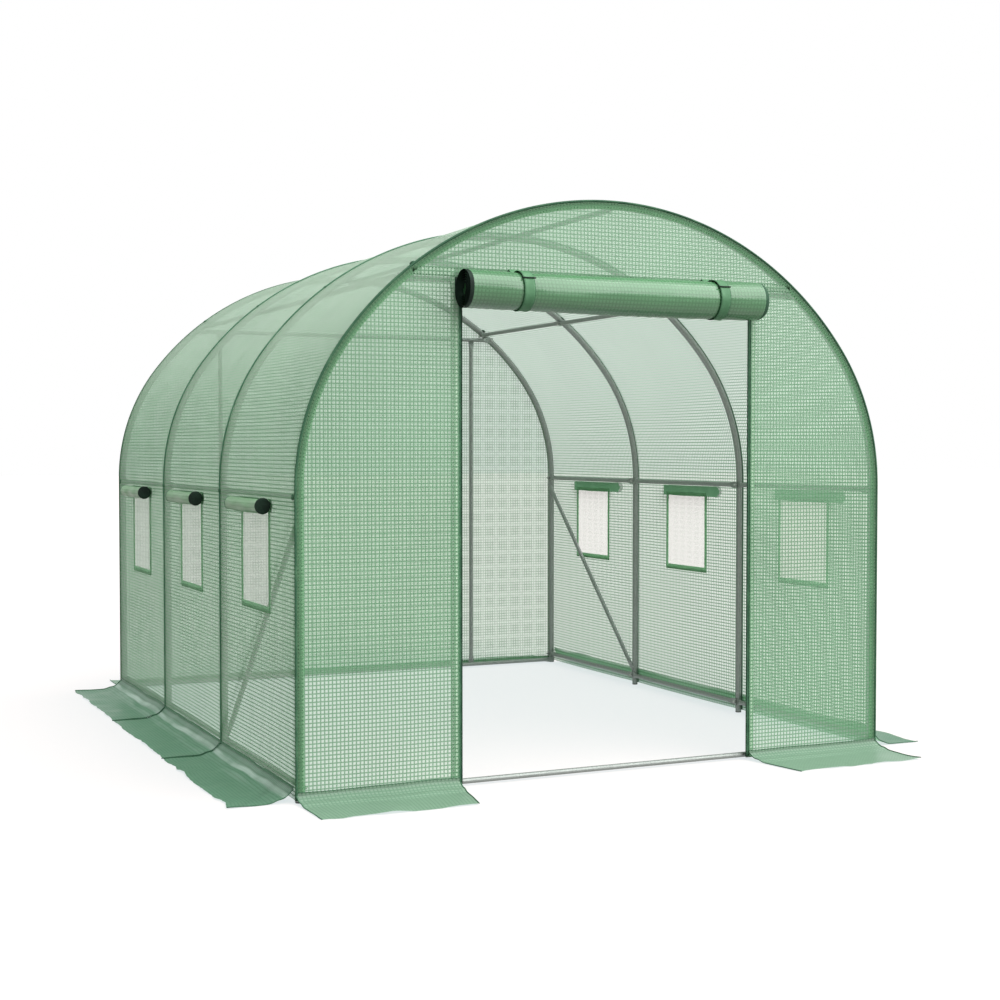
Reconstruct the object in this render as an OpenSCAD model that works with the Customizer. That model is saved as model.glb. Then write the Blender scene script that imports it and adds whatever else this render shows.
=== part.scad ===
// Walk-in polytunnel: tube hoops, bolted purlins and a reinforced film cover.
// The doorway faces -Y, +Z is up, and the ground is at z = 0.

/* [Tunnel] */
// Outer width over the side walls
tunnel_w = 2300; // [2200:10:2500]
// Distance from hoop to hoop
bay_l = 900; // [800:10:1100]
// Height at which the straight legs pass into the arch
spring_h = 1000; // [850:10:1200]
// Outer radius of the bends above the legs
haunch_r = 850; // [700:10:1000]
// Angle of the bends above the legs
haunch_a = 37; // [30:0.5:44]

/* [Tubes] */
// Outer diameter of the hoop tubes
hoop_d = 25; // [22:0.5:28]
// Outer diameter of the purlins, rails, posts and braces
purlin_d = 19; // [16:0.5:22]
// Wall thickness of all tubes
tube_wall = 1; // [0.8:0.1:1.5]
// Length of the sleeves inside the hoop joints
sleeve_l = 50; // [30:1:58]
// Clearance round the sleeves inside the hoop joints
sleeve_gap = 0.7; // [0.6:0.05:0.9]
// Length of a flattened tube end, measured from its bolt
tab_l = 20; // [16:1:28]
// Length over which a tube swells from flat to round
swell_l = 26; // [18:1:40]
// How far a flattened end runs past its bolt
tab_over = 10; // [8:0.5:11]
// Slack left between the two walls of a flattened tube end
flat_slack = 0.4; // [0:0.1:1]
// Diameter of the bolt holes
bolt_d = 6; // [5:0.5:7]
// Distance of the shoulder purlins below the top of the legs
shoulder_drop = 15; // [14:1:60]
// Distance of the header bars below the ridge
header_drop = 296; // [240:2:350]
// Distance of the upper purlins above the header bars
upper_rise = 26; // [22:1:60]
// Clearance of the rails' flattened ends above the ground
rail_clear = 2.3; // [1:0.1:10]
// Clearance between flattened ends that are bolted to one leg
end_clear = 3.6; // [2:0.1:12]
// Distance of the rear posts from the ends of the rear header
rear_post_in = 111; // [80:1:250]
// Height of a foot plug's head
plug_head = 4; // [3:0.5:6]
// Length of a foot plug inside the leg
plug_l = 16; // [10:1:30]

/* [Cover] */
// Thickness of the film
film_t = 2; // [1:0.5:3]
// Clearance between pieces that seat on each other
seat_gap = 0.3; // [0.2:0.1:0.5]
// Width of the ground flaps along the sides
side_skirt_w = 220; // [150:5:300]
// Width of the ground flaps at the front and rear
end_skirt_w = 260; // [150:5:300]
// Width of the slits between ground flaps
skirt_slit = 10; // [4:1:30]

/* [Door] */
// Distance between the middles of the two door posts
door_w = 1180; // [900:10:1380]
// Height of the seam over the door above the header bar
seam_rise = 24; // [14:1:40]
// Diameter of the rolled-up door
roll_d = 132; // [100:1:150]
// How far the rolled-up door reaches past the posts
roll_past = 20; // [5:1:40]
// Distance of the rolled-up door's axis below the header bar
roll_drop = 34; // [20:1:60]
// How far the door's film laps over the gable above the seam
door_lap = 20; // [10:1:30]
// Diameter of the open core at the end of the roll
roll_core_d = 52; // [20:1:80]
// Rounding of the roll's closed end
roll_round = 29; // [5:1:45]
// Depth of the open core at the end of the roll
roll_core_l = 60; // [20:1:120]
// Width of the ties round the rolled-up door
tie_w = 46; // [20:1:60]
// Distance between the two ties
tie_pitch = 760; // [500:10:850]
// Thickness of the ties
tie_t = 1.5; // [1:0.1:3]

/* [Windows] */
// Width of a window opening
window_w = 330; // [250:5:400]
// Height of a window opening
window_h = 340; // [250:5:350]
// Distance of the window openings below the top of the legs
window_drop = 65; // [50:1:120]
// Width of the binding round a window
binding_w = 24; // [15:1:30]
// Thickness of the binding
binding_t = 1.2; // [0.8:0.1:2]
// Thickness of the insect screen
screen_t = 1; // [0.5:0.1:1.5]
// Diameter of a rolled-up window flap
flap_d = 48; // [30:1:52]
// Diameter and depth of the open core at the end of a rolled-up flap
flap_core = 20; // [8:1:28]
// Rounding of a flap's closed end
flap_round = 10; // [2:1:14]
// Length of a rolled-up window flap
flap_l = 400; // [300:5:450]
// Height of a rolled-up flap's axis above the window opening
flap_up = 14; // [10:1:20]

/* [Hidden] */
$fn = 64;
// Facets of a full turn of the large arcs
arc_fn = 360;
// Facets of a tube's round section
tube_fn = 64;

steel = "#8f978f";
film = "#8fbf95";
dark_film = "#4f7f5c";
screen_white = "#dfe3df";
plug_black = "#2b302d";

bays = 3;
left = -1;
right = 1;
front = -1;
rear = 1;

// Three-centre arch of the outer skin
half_w = tunnel_w / 2;
haunch_x = half_w - haunch_r;
crown_r = haunch_r + haunch_x / cos(haunch_a);
crown_z = spring_h - haunch_x * tan(haunch_a);
tunnel_h = crown_z + crown_r;
meet_z = spring_h + haunch_r * sin(haunch_a);
ridge_part_a = (90 + haunch_a) / 2;

// Insets from the outer skin towards the room
hoop_inset = film_t + seat_gap + hoop_d / 2;
tab_t = 2 * tube_wall + flat_slack;
tab_w = PI * purlin_d / 2 - tab_t;
tab_inset = film_t + seat_gap + hoop_d + seat_gap + tab_t / 2;
tab_step = tab_t + seat_gap;

// Places along the tunnel
tunnel_l = bays * bay_l;
end_y = tunnel_l / 2;
cover_end_y = end_y + hoop_d / 2 + seat_gap;
cross_y = end_y - hoop_d / 2 - seat_gap - tab_t / 2;
post_y = cross_y + purlin_d / 2 + seat_gap + tab_t / 2;

// Sleeved joints of the hoop tubes
hoop_bore = hoop_d - 2 * tube_wall;
sleeve_d = hoop_bore - 2 * sleeve_gap;
sleeve_bore = sleeve_d - 2 * tube_wall;
leg_x = half_w - hoop_inset;
crown_line = crown_r - hoop_inset;
leg_top = spring_h - seat_gap;

// Heights of the purlins, rails, header bars and braces
header_h = tunnel_h - header_drop;
upper_a = acos((header_h + upper_rise - crown_z) / (crown_r - tab_inset));
shoulder_h = spring_h - shoulder_drop;
end_rail_h = rail_clear + tab_w / 2;
side_rail_h = end_rail_h + tab_w + end_clear;
brace_off = tab_w / 2 + norm([tab_over, tab_w / 2]) + end_clear;
brace_top = shoulder_h - brace_off;
brace_foot = side_rail_h + brace_off;

// Rolled-up door and windows
seam_h = header_h + seam_rise;
roll_h = header_h - roll_drop;
roll_l = door_w + 2 * roll_past;
door_back_y = cover_end_y + film_t + seat_gap;
door_front_y = door_back_y + film_t;
roll_y = door_back_y + roll_d / 2;
flap_x = half_w + seat_gap + binding_t + seat_gap + flap_d / 2;
window_top = spring_h - window_drop;
flap_z = window_top + flap_up;
hem_bore = purlin_d + 2 * seat_gap;
hem_d = hem_bore + 2 * film_t;
panel_x = door_w / 2 - hem_d / 2;
merge = 1;

function hoop_y(i) = i * bay_l - end_y;
function bay_y(i) = hoop_y(i) + bay_l / 2;
function hoop_half(z) =
    sqrt(pow(crown_line, 2) - pow(z - crown_z, 2));
function degrees(length, radius) = length / radius * 180 / PI;

// Shared shapes

module ring(d_out, d_in) {
    difference() {
        circle(d = d_out, $fn = tube_fn);
        circle(d = d_in, $fn = tube_fn);
    }
}

module tube(d_out, d_in, l) {
    linear_extrude(l) ring(d_out, d_in);
}

// Bent tube in the XZ plane, with angles measured from +X towards +Z
module bent_tube(r, a0, a1, d_out, d_in) {
    rotate([90, 0, 0])
        rotate([0, 0, a0])
            rotate_extrude(angle = a1 - a0, $fn = arc_fn)
                translate([r, 0])
                    ring(d_out, d_in);
}

// Curved sheet along the tunnel, between two angles of an arc of the outer skin
module bent_film(r, a0, a1) {
    rotate([90, 0, 0])
        rotate([0, 0, a0])
            rotate_extrude(angle = a1 - a0, $fn = arc_fn)
                translate([r - film_t, -cover_end_y])
                    square([film_t, 2 * cover_end_y]);
}

// Tube along +Y with flattened ends, bolt to bolt; the flats face +Z
module flat_end_tube(l) {
    round_start = tab_l + swell_l;
    translate([0, l - round_start, 0])
        rotate([90, 0, 0])
            tube(purlin_d, purlin_d - 2 * tube_wall, l - 2 * round_start);
    flat_end();
    translate([0, l, 0])
        mirror([0, 1, 0])
            flat_end();
}

module flat_end() {
    difference() {
        translate([-tab_w / 2, -tab_over, -tab_t / 2])
            cube([tab_w, tab_over + tab_l, tab_t]);
        translate([0, 0, -tab_t])
            cylinder(d = bolt_d, h = 2 * tab_t);
    }
    hull() {
        translate([-tab_w / 2, tab_l - merge, -tab_t / 2])
            cube([tab_w, merge, tab_t]);
        translate([0, tab_l + swell_l + merge, 0])
            rotate([90, 0, 0])
                cylinder(d = purlin_d, h = merge, $fn = 32);
    }
}

// One flat-ended tube a bay; the middle ones pass under their neighbours' ends
module bay_tubes() {
    for (i = [0 : bays - 1])
        translate([0, hoop_y(i), -(i % 2) * tab_step])
            flat_end_tube(bay_l);
}

// Across the tunnel, with the flats facing along it
module cross_tube(half_l) {
    translate([-half_l, 0, 0])
        rotate(a = -120, v = [1, 1, 1])
            flat_end_tube(2 * half_l);
}

module upright_tube(z0, z1) {
    translate([0, 0, z0])
        rotate([90, 0, 0])
            flat_end_tube(z1 - z0);
}

module on_crown(a, inset) {
    translate([(crown_r - inset) * sin(a), 0, crown_z + (crown_r - inset) * cos(a)])
        rotate([0, a, 0])
            children();
}

module on_leg(side, z, inset) {
    translate([side * (half_w - inset), 0, z])
        rotate([0, side * 90, 0])
            children();
}

module both_sides() {
    children();
    mirror([1, 0, 0])
        children();
}

// Hoops

module hoop_legs(i) {
    color(steel)
        both_sides()
            translate([leg_x, hoop_y(i), plug_head])
                tube(hoop_d, hoop_bore, leg_top - plug_head);
}

// Bent tubes of one hoop: a bend over each leg and two halves of the crown
module hoop_arch(i) {
    half_gap = degrees(seat_gap / 2, crown_line);
    color(steel)
        both_sides()
            translate([0, hoop_y(i), 0]) {
                translate([haunch_x, 0, spring_h])
                    bent_tube(haunch_r - hoop_inset, 0, haunch_a - half_gap, hoop_d, hoop_bore);
                translate([0, 0, crown_z])
                    bent_tube(crown_line, haunch_a + half_gap, 90 - half_gap, hoop_d, hoop_bore);
            }
}

// Sleeves inside the hoop tubes: at the legs, over the bends and at the ridge
module joint_sleeves() {
    color(steel)
        for (i = [0 : bays])
            translate([0, hoop_y(i), 0]) {
                both_sides() {
                    translate([leg_x, 0, spring_h - sleeve_l / 2])
                        tube(sleeve_d, sleeve_bore, sleeve_l);
                    crown_sleeve(haunch_a);
                }
                crown_sleeve(90);
            }
}

module crown_sleeve(a) {
    half_sleeve = degrees(sleeve_l / 2, crown_line);
    translate([0, 0, crown_z])
        bent_tube(crown_line, a - half_sleeve, a + half_sleeve, sleeve_d, sleeve_bore);
}

module foot_plugs() {
    color(plug_black)
        both_sides()
            for (i = [0 : bays])
                translate([leg_x, hoop_y(i), 0]) {
                    cylinder(d = hoop_d, h = plug_head);
                    cylinder(d = hoop_bore - 2 * seat_gap, h = plug_head + plug_l);
                }
}

// Purlins, rails, posts and braces

module crown_purlin(a) {
    color(steel)
        on_crown(a, tab_inset)
            bay_tubes();
}

module leg_purlin(side, z) {
    color(steel)
        on_leg(side, z, tab_inset)
            bay_tubes();
}

module end_base_rail(end) {
    color(steel)
        translate([0, end * cross_y, end_rail_h])
            cross_tube(leg_x);
}

module header(end) {
    color(steel)
        translate([0, end * cross_y, header_h])
            cross_tube(hoop_half(header_h));
}

module posts(end, x) {
    color(steel)
        both_sides()
            translate([x, end * post_y, 0])
                upright_tube(end_rail_h, header_h);
}

module brace(side, y_top, y_foot) {
    run = y_foot - y_top;
    drop = brace_top - brace_foot;
    translate([side * (half_w - tab_inset), y_top, brace_top])
        rotate([-atan2(drop, run), 0, 0])
            rotate([0, side * 90, 0])
                flat_end_tube(norm([run, drop]));
}

module diagonal_braces() {
    color(steel) {
        brace(left, hoop_y(0), hoop_y(1));
        mirror([0, 1, 0])
            brace(right, hoop_y(0), hoop_y(1));
    }
}

// Cover

module window_places(side) {
    for (i = [0 : bays - 1])
        translate([side * half_w, bay_y(i), window_top - window_h / 2])
            children();
}

module wall_cover(side) {
    color(film)
        difference() {
            translate([side > 0 ? half_w - film_t : -half_w, -cover_end_y, 0])
                cube([film_t, 2 * cover_end_y, spring_h]);
            window_places(side)
                cube([4 * film_t, window_w, window_h], center = true);
        }
}

module haunch_cover() {
    color(film)
        translate([haunch_x, 0, spring_h])
            bent_film(haunch_r, 0, haunch_a);
}

module crown_cover(a0, a1) {
    color(film)
        translate([0, 0, crown_z])
            bent_film(crown_r, a0, a1);
}

// Outline of the whole end of the tunnel, in three bands
module end_outline() {
    translate([-half_w, 0])
        square([tunnel_w, spring_h]);
    both_sides()
        intersection() {
            translate([haunch_x, spring_h])
                circle(r = haunch_r, $fn = arc_fn);
            translate([0, spring_h])
                square([half_w, meet_z - spring_h]);
        }
    intersection() {
        translate([0, crown_z])
            circle(r = crown_r, $fn = arc_fn);
        translate([-half_w, meet_z])
            square([tunnel_w, tunnel_h - meet_z]);
    }
}

module end_film(end) {
    translate([0, end > 0 ? cover_end_y + film_t : -cover_end_y, 0])
        rotate([90, 0, 0])
            linear_extrude(film_t)
                children();
}

module front_side_panel(side) {
    color(film)
        end_film(front)
            intersection() {
                end_outline();
                translate([side > 0 ? panel_x : -half_w, 0])
                    square([half_w - panel_x, seam_h]);
            }
}

module front_gable() {
    color(film)
        end_film(front)
            intersection() {
                end_outline();
                translate([-half_w, seam_h])
                    square([tunnel_w, tunnel_h - seam_h]);
            }
}

module rear_panel() {
    color(film)
        end_film(rear)
            end_outline();
}

module side_skirt(side) {
    color(film)
        for (i = [0 : bays - 1])
            translate([side > 0 ? half_w + seat_gap : -half_w - seat_gap - side_skirt_w,
                       hoop_y(i) + skirt_slit / 2, 0])
                cube([side_skirt_w, bay_l - skirt_slit, film_t]);
}

module front_skirt() {
    flap_w = half_w - panel_x;
    color(film)
        both_sides()
            translate([panel_x, -cover_end_y - film_t - seat_gap - end_skirt_w, 0])
                cube([flap_w, end_skirt_w, film_t]);
}

module rear_skirt() {
    color(film)
        translate([-half_w, cover_end_y + film_t + seat_gap, 0])
            cube([tunnel_w, end_skirt_w, film_t]);
}

// Windows

module both_walls() {
    window_places(left)
        children();
    mirror([1, 0, 0])
        window_places(left)
            children();
}

module window_screens() {
    color(screen_white)
        both_walls()
            translate([film_t / 2, 0, 0])
                cube([screen_t, window_w - 2 * seat_gap, window_h - 2 * seat_gap], center = true);
}

module window_bindings() {
    color(dark_film)
        both_walls()
            translate([-seat_gap, 0, 0])
                rotate([0, -90, 0])
                    linear_extrude(binding_t)
                        difference() {
                            square([window_h + 2 * binding_w, window_w + 2 * binding_w], center = true);
                            square([window_h, window_w], center = true);
                        }
}

// Closed roll along +X with an open core at its left end and a rounded right end
module rolled_film(l, d, core_d, core_l, round_r) {
    rotate([0, 90, 0])
        rotate_extrude()
            difference() {
                union() {
                    square([d / 2, l - round_r]);
                    square([d / 2 - round_r, l]);
                    translate([d / 2 - round_r, l - round_r])
                        intersection() {
                            circle(r = round_r);
                            square(round_r);
                        }
                }
                square([core_d / 2, core_l]);
            }
}

module window_rolls() {
    color(dark_film)
        both_sides()
            for (i = [0 : bays - 1])
                translate([-flap_x, bay_y(i) - flap_l / 2, flap_z])
                    rotate([0, 0, 90])
                        rolled_film(flap_l, flap_d, flap_core, flap_core, flap_round);
}

// Door

// Hems that wrap the door posts and reach back to the film
module door_edge_hems() {
    hem_top = header_h - tab_l - swell_l;
    hem_foot = end_rail_h + tab_l + swell_l;
    web_l = cover_end_y - post_y;
    color(dark_film)
        both_sides()
            translate([door_w / 2, -post_y, hem_foot])
                linear_extrude(hem_top - hem_foot)
                    difference() {
                        union() {
                            circle(d = hem_d);
                            translate([-film_t / 2, -web_l])
                                square([film_t, web_l]);
                        }
                        circle(d = hem_bore);
                    }
}

// The door's film hangs from the seam and is rolled up below it
module door_roll() {
    color(dark_film) {
        translate([-roll_l / 2, -roll_y, roll_h])
            rolled_film(roll_l, roll_d, roll_core_d, roll_core_l, roll_round);
        translate([-panel_x, -door_front_y, roll_h])
            cube([2 * panel_x, film_t, seam_h + door_lap - roll_h]);
    }
}

// Straps that run from the seam round the front of the roll and back under it
module door_roll_ties() {
    tie_y = door_front_y + seat_gap;
    tie_bore = roll_d + 2 * seat_gap;
    tie_d = tie_bore + 2 * tie_t;
    tie_meet_z = sqrt(pow(tie_bore / 2, 2) - pow(roll_y - tie_y - tie_t, 2));
    color(film)
        both_sides()
            translate([tie_pitch / 2 - tie_w / 2, 0, 0]) {
                difference() {
                    translate([0, -roll_y, roll_h])
                        rotate([0, 90, 0])
                            tube(tie_d, tie_bore, tie_w);
                    translate([-tie_w / 2, -tie_y, roll_h])
                        cube([2 * tie_w, tie_d, tie_d]);
                }
                translate([0, -tie_y - tie_t, roll_h + tie_meet_z])
                    cube([tie_w, tie_t, seam_h + door_lap - roll_h - tie_meet_z]);
            }
}

hoop_legs(0);  // front_hoop_legs
hoop_arch(0);  // front_hoop_arch
hoop_legs(1);  // second_hoop_legs
hoop_arch(1);  // second_hoop_arch
hoop_legs(2);  // third_hoop_legs
hoop_arch(2);  // third_hoop_arch
hoop_legs(3);  // rear_hoop_legs
hoop_arch(3);  // rear_hoop_arch
joint_sleeves();
foot_plugs();
crown_purlin(0);  // ridge_purlin
crown_purlin(-upper_a);  // left_upper_purlin
crown_purlin(upper_a);  // right_upper_purlin
leg_purlin(left, shoulder_h);  // left_shoulder_purlin
leg_purlin(right, shoulder_h);  // right_shoulder_purlin
leg_purlin(left, side_rail_h);  // left_base_rail
leg_purlin(right, side_rail_h);  // right_base_rail
end_base_rail(front);  // front_base_rail
end_base_rail(rear);  // rear_base_rail
header(front);  // front_header
header(rear);  // rear_header
posts(front, door_w / 2);  // front_door_posts
posts(rear, hoop_half(header_h) - rear_post_in);  // rear_posts
diagonal_braces();
wall_cover(left);  // left_wall_cover
wall_cover(right);  // right_wall_cover
mirror([1, 0, 0]) haunch_cover();  // left_haunch_cover
haunch_cover();  // right_haunch_cover
crown_cover(180 - ridge_part_a, 180 - haunch_a);  // left_roof_cover
crown_cover(haunch_a, ridge_part_a);  // right_roof_cover
crown_cover(90, 180 - ridge_part_a);  // left_ridge_cover
crown_cover(ridge_part_a, 90);  // right_ridge_cover
front_side_panel(left);  // front_left_panel
front_side_panel(right);  // front_right_panel
front_gable();
rear_panel();
side_skirt(left);  // left_skirt
side_skirt(right);  // right_skirt
front_skirt();
rear_skirt();
window_screens();
window_bindings();
window_rolls();
door_edge_hems();
door_roll();
door_roll_ties();
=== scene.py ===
# Polytunnel greenhouse: film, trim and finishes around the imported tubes.
# Metres in the part's own frame: the doorway looks towards -Y, +X is to its right, +Z is up.
import math

import bpy
import numpy as np
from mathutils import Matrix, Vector, noise


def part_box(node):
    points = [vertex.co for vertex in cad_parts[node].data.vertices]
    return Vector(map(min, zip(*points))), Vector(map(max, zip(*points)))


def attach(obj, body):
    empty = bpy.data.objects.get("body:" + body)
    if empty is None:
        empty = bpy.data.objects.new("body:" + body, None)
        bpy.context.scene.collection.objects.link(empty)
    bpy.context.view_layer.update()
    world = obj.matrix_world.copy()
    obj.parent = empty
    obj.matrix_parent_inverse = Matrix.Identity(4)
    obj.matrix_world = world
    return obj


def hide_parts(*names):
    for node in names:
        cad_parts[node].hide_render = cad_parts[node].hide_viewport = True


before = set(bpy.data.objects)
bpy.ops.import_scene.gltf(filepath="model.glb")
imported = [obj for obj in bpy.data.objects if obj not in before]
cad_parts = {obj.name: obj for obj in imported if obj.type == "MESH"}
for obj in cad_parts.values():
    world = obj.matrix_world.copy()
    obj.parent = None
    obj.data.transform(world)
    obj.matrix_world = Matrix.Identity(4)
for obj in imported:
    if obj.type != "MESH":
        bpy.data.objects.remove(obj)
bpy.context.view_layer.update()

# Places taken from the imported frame

BODY = "root"
SIDES = {"left": -1, "right": 1}
HOOPS = ("front", "second", "third", "rear")


def middle(node):
    low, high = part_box(node)
    return (low + high) / 2


HALF_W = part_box("right_wall_cover")[1].x
SPRING_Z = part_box("right_wall_cover")[1].z
COVER_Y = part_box("right_wall_cover")[1].y
FRONT_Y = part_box("front_gable")[0].y
REAR_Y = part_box("rear_panel")[1].y
SEAM_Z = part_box("front_gable")[0].z
DOOR_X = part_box("front_right_panel")[0].x
POST_X = (DOOR_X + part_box("door_edge_hems")[1].x) / 2
POST_Y = middle("front_door_posts").y
HOOP_Y = [middle(f"{hoop}_hoop_legs").y for hoop in HOOPS]
BAY = HOOP_Y[1] - HOOP_Y[0]
BAY_Y = [y + BAY / 2 for y in HOOP_Y[:-1]]
SHOULDER_Z = middle("right_shoulder_purlin").z
RAIL_Z = middle("right_base_rail").z
HEADER_Z = middle("front_header").z

# Cross-section of the outer skin: wall, bend over the shoulder, crown
HAUNCH_R = 0.850
HAUNCH_A = math.radians(37)
HAUNCH_X = HALF_W - HAUNCH_R
CROWN_R = HAUNCH_R + HAUNCH_X / math.cos(HAUNCH_A)
CROWN_Z = SPRING_Z - HAUNCH_X * math.tan(HAUNCH_A)
CROWN_L = CROWN_R * (math.pi / 2 - HAUNCH_A)
SPRING_S = CROWN_L + HAUNCH_R * HAUNCH_A
GROUND_S = SPRING_S + SPRING_Z
UPPER_A = math.radians(37)
UPPER_S = CROWN_R * UPPER_A
SHOULDER_S = SPRING_S + SPRING_Z - SHOULDER_Z

# Film and trim sizes
GRID = 0.0135
FOOT_Z = 0.010
SAG = 0.006
WRINKLE = 0.003
BILLOW = 0.006
COVER_STEP = 0.024
END_STEP = 0.030
ARCH_STEP = 0.012
CHECK_MESHES = 5.5
HEM_W = 0.025
HEM_INSET = 0.003
PIPE_R = 0.0042
PIPE_INSET = 0.0015
WELT_R = 0.0034
WELT_AHEAD = 0.004
WELT_PROUD = 0.0014
STITCH_PITCH = 0.011
LAP = 0.0012
THREAD_LIFT = 0.0006
STRIP_RISE = np.array([0.3, 1, 1, 1, 0.3])
SEAM_HALF = 0.016
SEAM_ROW = 0.011
SKIRT_LAP = 0.010
SKIRT_SLIT = 0.012
SKIRT_RISE = {"left": 0.042, "right": 0.064, "front": 0.024, "rear": 0.022}
SIDE_SKIRT_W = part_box("right_skirt")[1].x - HALF_W
END_SKIRT_W = FRONT_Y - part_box("front_skirt")[0].y

# Windows
WINDOW_W = 0.330
WINDOW_H = 0.340
WINDOW_TOP = 0.935
EDGE_W = 0.013
SILL_W = 0.022
BINDING_T = 0.0044
FLAP_R = 0.0265
FLAP_L = 0.400
FLAP_LEAD = 0.020
FLAP_GAP = 0.0018
FLAP_X = HALF_W + FLAP_R + FLAP_GAP
FLAP_Z = middle("window_rolls").z
# Strips of painted shade inside the film behind the rolled flaps
SHADE_BAND_H = 0.023
SHADE_BAND_OVER = 0.080

# Rolled door
ROLL_R = 0.066
ROLL_TRIM = 0.016
ROLL_CLOSE = 0.060
ROLL_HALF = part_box("door_roll")[1].x - ROLL_TRIM
ROLL_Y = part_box("door_roll")[0].y + ROLL_R
ROLL_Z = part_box("door_roll")[0].z + ROLL_R
TIE_X = 0.380
TIE_W = 0.038
TIE_GAP = 0.0014

# Door edges
SLEEVE_R = 0.0125
SLEEVE_AHEAD = 0.004
ZIP_OFF = 0.0170
TEETH_OFF = 0.0055
EDGE_ROW = 0.022

# Bolts
TAB_INSET = 0.0336
HEADER_INSET = 0.010
HEADER_FACE = 0.0014
WASHER_T = 0.0012
BUMP_SINK = 0.0012
BUMP_SHIFT = 0.006

# Camera and light
CAMERA_AT = (-2.7012, -6.2587, 1.1415)
CAMERA_YAW = 0.4348
CAMERA_PITCH = -0.0323
SENSOR = 36.0
FOCAL_PX = 1596.5
FRAME_PX = 1000
DOME_LOW = 0.44
DOME_HIGH = 1.46
DOME_SIDE = 0.20
KEY = 3.65
KEY_FROM = (0.60, -0.62, 0.84)
KEY_SPREAD = math.radians(75)
FLOOR_HALF = 60.0


# Shapes

def skin(s):
    """Point and outward normal of the outer skin at girth s from the ridge, right positive."""
    s = np.asarray(s, float)
    side = np.where(s < 0, -1.0, 1.0)
    d = np.abs(s)
    on_crown = d <= CROWN_L
    bend = np.clip(HAUNCH_A - (d - CROWN_L) / HAUNCH_R, 0, HAUNCH_A)
    angle = np.where(on_crown, math.pi / 2 - d / CROWN_R, bend)
    radius = np.where(on_crown, CROWN_R, HAUNCH_R)
    x = np.where(on_crown, 0, HAUNCH_X) + radius * np.cos(angle)
    z = np.where(on_crown, CROWN_Z, SPRING_Z) + radius * np.sin(angle)
    return side * x, z - np.maximum(d - SPRING_S, 0), side * np.cos(angle), np.sin(angle)


def girth_at(z):
    """Girth distance of a height on the wall."""
    return SPRING_S + SPRING_Z - z


def crown_girth_at(z):
    """Girth distance of a height on the crown."""
    return CROWN_R * math.acos((z - CROWN_Z) / CROWN_R)


def slack(y):
    """0 on the hoops and 1 halfway between them."""
    t = np.clip((np.asarray(y, float) - HOOP_Y[0]) / BAY, 0, len(HOOPS) - 1) % 1
    return 4 * t * (1 - t)


smooth_noise = np.vectorize(lambda x, y, z=0.0: noise.noise(Vector((x, y, z))))


def cover_points(s, y, lift=0.0):
    """The tunnel's film: tight on the hoops, slack with small folds between them."""
    x, z, nx, nz = skin(s)
    folds = smooth_noise(s * 5.5, y * 1.6) + 0.5 * smooth_noise(s * 13, y * 3.5, 7.0)
    folds = folds * np.clip((SPRING_S - np.abs(s)) / 0.25, 0.25, 1)
    out = lift - slack(y) * (SAG + WRINKLE * folds)
    return np.stack([x + out * nx, np.broadcast_to(y, np.shape(x)), z + out * nz], -1)


def ticks(breaks, step):
    """Sorted places that include every break and lie no further apart than step."""
    breaks = sorted(set(breaks))
    spans = [np.linspace(a, b, max(1, math.ceil((b - a) / step)), endpoint=False)
             for a, b in zip(breaks, breaks[1:])]
    return np.concatenate([*spans, breaks[-1:]])


def grid(points, uv, keep=None):
    """Vertices, faces and map of a sheet given as rows and columns of points."""
    rows, columns = points.shape[:2]
    index = np.arange(rows * columns).reshape(rows, columns)
    corners = (index[:-1, :-1], index[1:, :-1], index[1:, 1:], index[:-1, 1:])
    quads = np.stack(corners, -1)
    quads = quads.reshape(-1, 4) if keep is None else quads[keep]
    used, quads = np.unique(quads, return_inverse=True)
    return points.reshape(-1, 3)[used], quads.reshape(-1, 4), uv.reshape(-1, 2)[used]


def joined(shapes):
    """Several (vertices, faces, map) as one."""
    starts = np.cumsum([0] + [len(v) for v, _, _ in shapes])
    faces = [np.asarray(f) + n for (_, f, _), n in zip(shapes, starts)]
    return (np.concatenate([v for v, _, _ in shapes]), np.concatenate(faces),
            np.concatenate([m for _, _, m in shapes]))


def sweep(path, radius, across, sides=8):
    """Round bar along a path; across is a direction that the path never follows."""
    path = np.asarray(path, float)
    tangent = np.gradient(path, axis=0)
    tangent /= np.linalg.norm(tangent, axis=1, keepdims=True)
    first = np.cross(tangent, across)
    first /= np.linalg.norm(first, axis=1, keepdims=True)
    second = np.cross(first, tangent)
    radius = np.broadcast_to(radius, len(path))[:, None, None]
    turn = np.linspace(0, 2 * math.pi, sides + 1)[None, :, None]
    spokes = np.cos(turn) * first[:, None] + np.sin(turn) * second[:, None]
    rings = path[:, None] + radius * spokes
    length = np.concatenate([[0], np.cumsum(np.linalg.norm(np.diff(path, axis=0), axis=1))])
    round_it = np.broadcast_to(turn[0, :, 0] * float(radius.max()), rings.shape[:2])
    uv = np.stack([np.broadcast_to(length[:, None], rings.shape[:2]), round_it], -1)
    ends = [path[:1, None] + 0 * rings[:1], path[-1:, None] + 0 * rings[-1:]]
    uv = np.concatenate([uv[:1], uv, uv[-1:]])
    return grid(np.concatenate([ends[0], rings, ends[1]]), uv)


def lathe(profile, sides):
    """Solid of revolution about Z from (radius, height) pairs."""
    turn = np.linspace(0, 2 * math.pi, sides + 1)
    profile = np.asarray(profile, float)
    ring = np.stack([np.cos(turn), np.sin(turn), 0 * turn], -1)
    points = profile[:, None, :1] * ring[None] + profile[:, None, 1:] * np.array([0, 0, 1.0])
    uv = np.stack(np.meshgrid(profile[:, 1], turn, indexing="ij"), -1)
    return grid(points[:, ::-1], uv)


def placed(shape, place, along):
    """A shape turned from Z to a direction and moved to a place."""
    turn = np.array(Vector(along).to_track_quat("Z", "Y").to_matrix())
    return shape[0] @ turn.T + np.asarray(place, float), shape[1], shape[2]


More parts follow.
